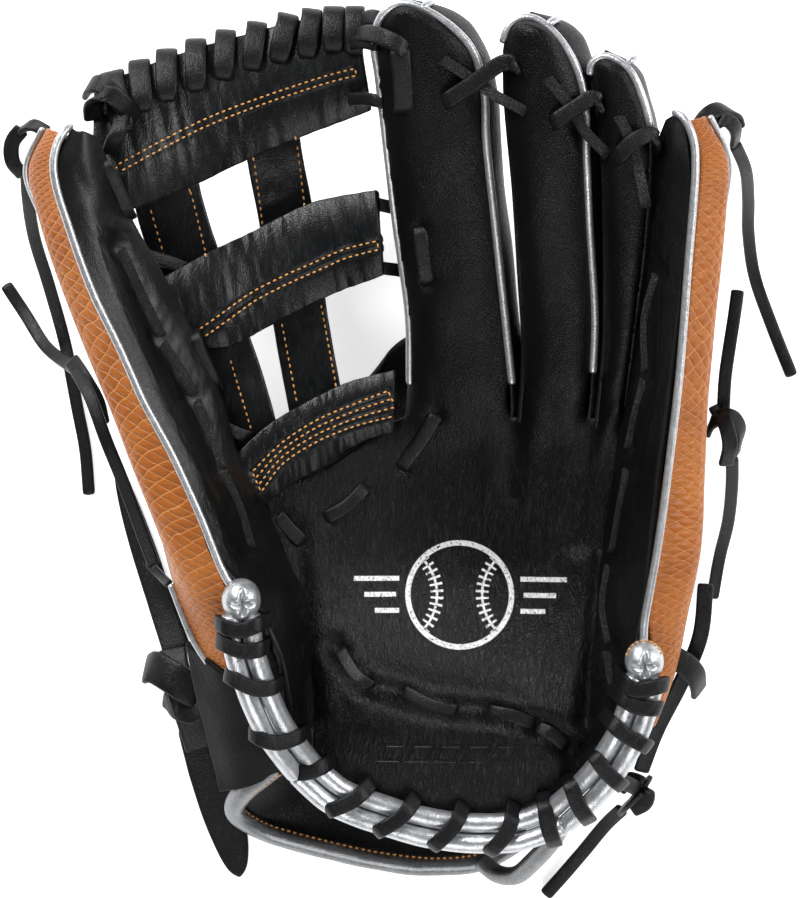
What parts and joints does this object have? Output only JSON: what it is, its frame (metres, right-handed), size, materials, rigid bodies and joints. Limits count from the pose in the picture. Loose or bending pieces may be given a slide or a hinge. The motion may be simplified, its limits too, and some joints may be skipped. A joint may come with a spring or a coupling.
{
  "type": "baseball fielder's glove",
  "caption": "Leather baseball fielder's glove for the left hand, lying on its back, with an open H-shaped laced web, silver bindings and tan outer panels.",
  "frame": {"origin": "on the flat of the back of the hand, which the glove lies on, under the middle of the palm", "axes": "+Z out of the palm, +Y toward the fingertips, +X toward the little finger"},
  "size_m": [0.3081, 0.3403, 0.1151],
  "materials": {
    "black_leather": "oiled full-grain hide with a fine pebbled grain, soft sheen, brown-grey where it rubs",
    "web_leather": "heavily pebbled black hide with a cool sheen, doubled and stitched with orange thread",
    "tan_embossed_leather": "orange-tan hide embossed with a reptile-scale pattern",
    "silver_leather": "metallic silver foil-coated leather, finely creased, over-stitched in orange",
    "rawhide_lace": "black rawhide lace with fuzzy cut edges",
    "lining_leather": "soft dark lining leather",
    "wool_felt": "dense grey wool felt"
  },
  "bodies": {
    "palm": {"palm_front": "black_leather", "palm_pad": "wool_felt", "palm_liner": "lining_leather", "back_shell": "black_leather", "index_back": "black_leather", "middle_back": "black_leather", "ring_back": "black_leather", "index_piping": "silver_leather", "middle_piping": "silver_leather", "ring_piping": "silver_leather", "heel_binding_palm": "silver_leather", "heel_lace_palm": "rawhide_lace", "palm_arch_lace": "rawhide_lace", "wrist_tab": "silver_leather", "web_left_post": "web_leather", "web_right_post": "web_leather", "web_top_bridge": "web_leather", "web_middle_bridge": "web_leather", "web_bottom_bridge": "web_leather", "web_top_lace": "rawhide_lace", "web_thumb_lace": "rawhide_lace", "web_index_lace": "rawhide_lace", "tip_lace_index_middle": "rawhide_lace", "tip_lace_middle_ring": "rawhide_lace"},
    "thumb": {"thumb_front": "black_leather", "thumb_heel_pad": "wool_felt", "thumb_outer_panel": "tan_embossed_leather", "thumb_back": "black_leather", "thumb_piping": "silver_leather", "thumb_edge_lace": "rawhide_lace", "thumb_loop": "lining_leather", "heel_binding_thumb": "silver_leather", "heel_lace_thumb": "rawhide_lace", "thong_knot": "rawhide_lace", "thong_lead": "rawhide_lace", "thong_upper_end": "rawhide_lace", "thong_lower_end": "rawhide_lace", "thumb_tip_tail": "rawhide_lace", "thumb_side_tail": "rawhide_lace"},
    "little_finger": {"little_front": "black_leather", "little_heel_pad": "wool_felt", "little_outer_panel": "tan_embossed_leather", "little_back": "black_leather", "little_piping": "silver_leather", "little_edge_lace": "rawhide_lace", "little_loop": "lining_leather", "heel_binding_little": "silver_leather", "heel_lace_little": "rawhide_lace", "tip_lace_ring_little": "rawhide_lace", "little_top_knot": "rawhide_lace", "little_side_knot": "rawhide_lace", "little_top_tail": "rawhide_lace", "little_side_tail": "rawhide_lace", "heel_lead": "rawhide_lace", "heel_knot": "rawhide_lace", "heel_tail": "rawhide_lace"},
    "wrist_strap": {"wrist_strap": "black_leather", "wrist_strap_binding": "silver_leather"}
  },
  "joints": [
    {"name": "thumb_fold", "type": "hinge", "parent": "palm", "child": "thumb", "pos_m": [-0.048, -0.115, 0.046], "axis": [-0.2723, 0.9568, 0.1021], "range_deg": [0, 32]},
    {"name": "little_finger_fold", "type": "hinge", "parent": "palm", "child": "little_finger", "pos_m": [0.058, -0.118, 0.052], "axis": [-0.1031, -0.9797, -0.1719], "range_deg": [0, 25]},
    {"name": "wrist_strap_fold", "type": "hinge", "parent": "palm", "child": "wrist_strap", "pos_m": [0.052, -0.13, 0.04], "axis": [-0.9977, 0.0676, 0], "range_deg": [0, 25]}
  ]
}
